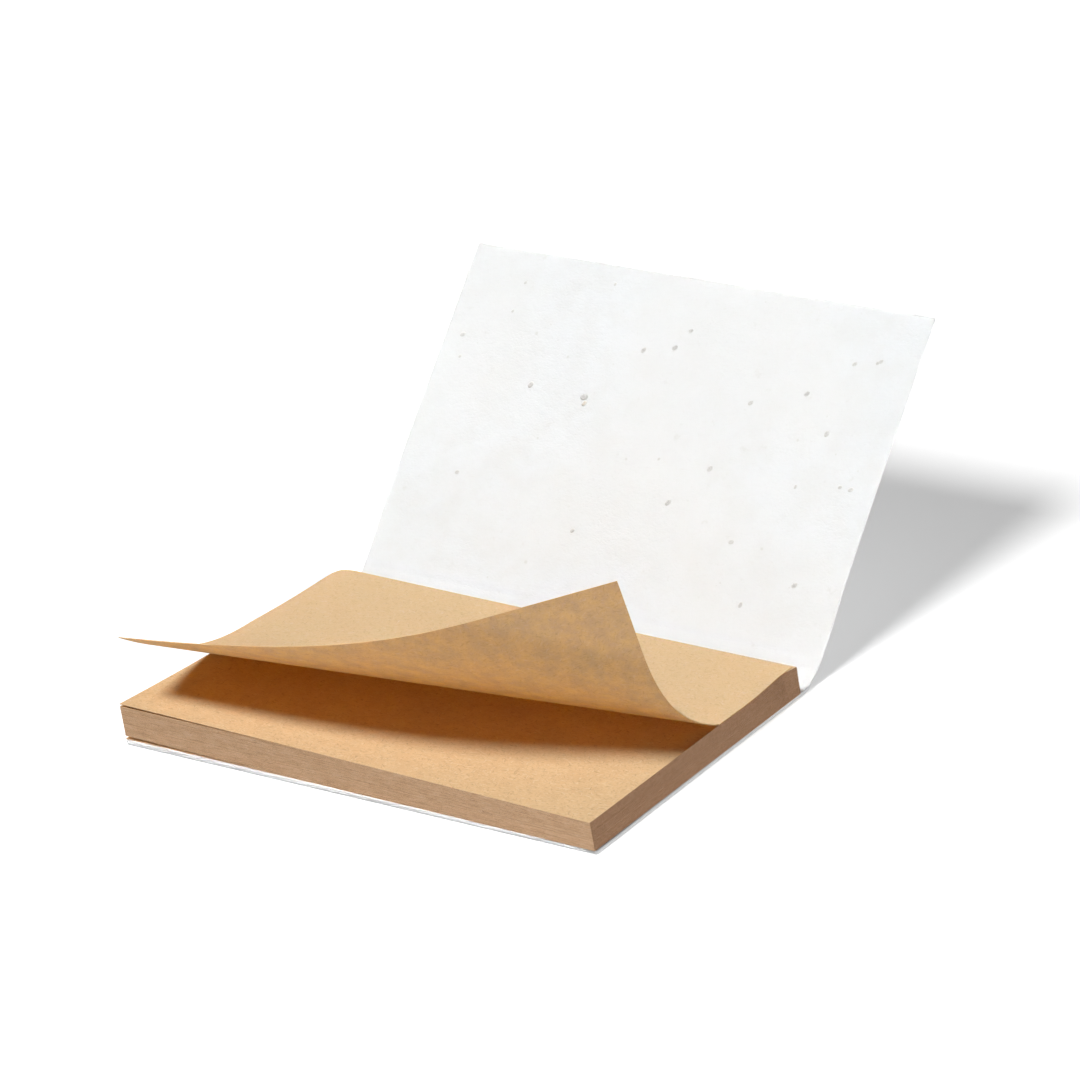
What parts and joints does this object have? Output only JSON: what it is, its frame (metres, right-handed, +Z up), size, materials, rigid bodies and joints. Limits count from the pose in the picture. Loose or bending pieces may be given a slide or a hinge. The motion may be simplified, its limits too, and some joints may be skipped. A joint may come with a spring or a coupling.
{
  "type": "notepad",
  "caption": "Small adhesive notepad: kraft notes on a folded seed paper cover that stands open, with the top note peeled and curling up.",
  "frame": {"origin": "centre of the underside of the back cover, where the notepad rests on a table", "axes": "+X along the folds, to the right with the notes in front; +Y from the free front edge to the folds; +Z up"},
  "size_m": [0.0768, 0.0907, 0.0394],
  "materials": {
    "seed_paper": "matt handmade white paper, lightly lumpy, with small seeds and flecks",
    "kraft_paper": "matt brown recycled kraft paper with fine fibres"
  },
  "bodies": {
    "pad": {"back_cover": "seed_paper", "note_block": "kraft_paper", "lifted_note": "kraft_paper"},
    "spine": {"cover_spine": "seed_paper"},
    "cover": {"front_cover": "seed_paper"}
  },
  "joints": [
    {"name": "spine_fold", "type": "hinge", "parent": "pad", "child": "spine", "pos_m": [0, 0.02635, 0.0006], "axis": [1, 0, 0], "range_deg": [-46, 44]},
    {"name": "cover_fold", "type": "hinge", "parent": "spine", "child": "cover", "pos_m": [0, 0.02913, 0.00348], "axis": [1, 0, 0], "range_deg": [0, 88], "deforming": ["lifted_note"]}
  ]
}
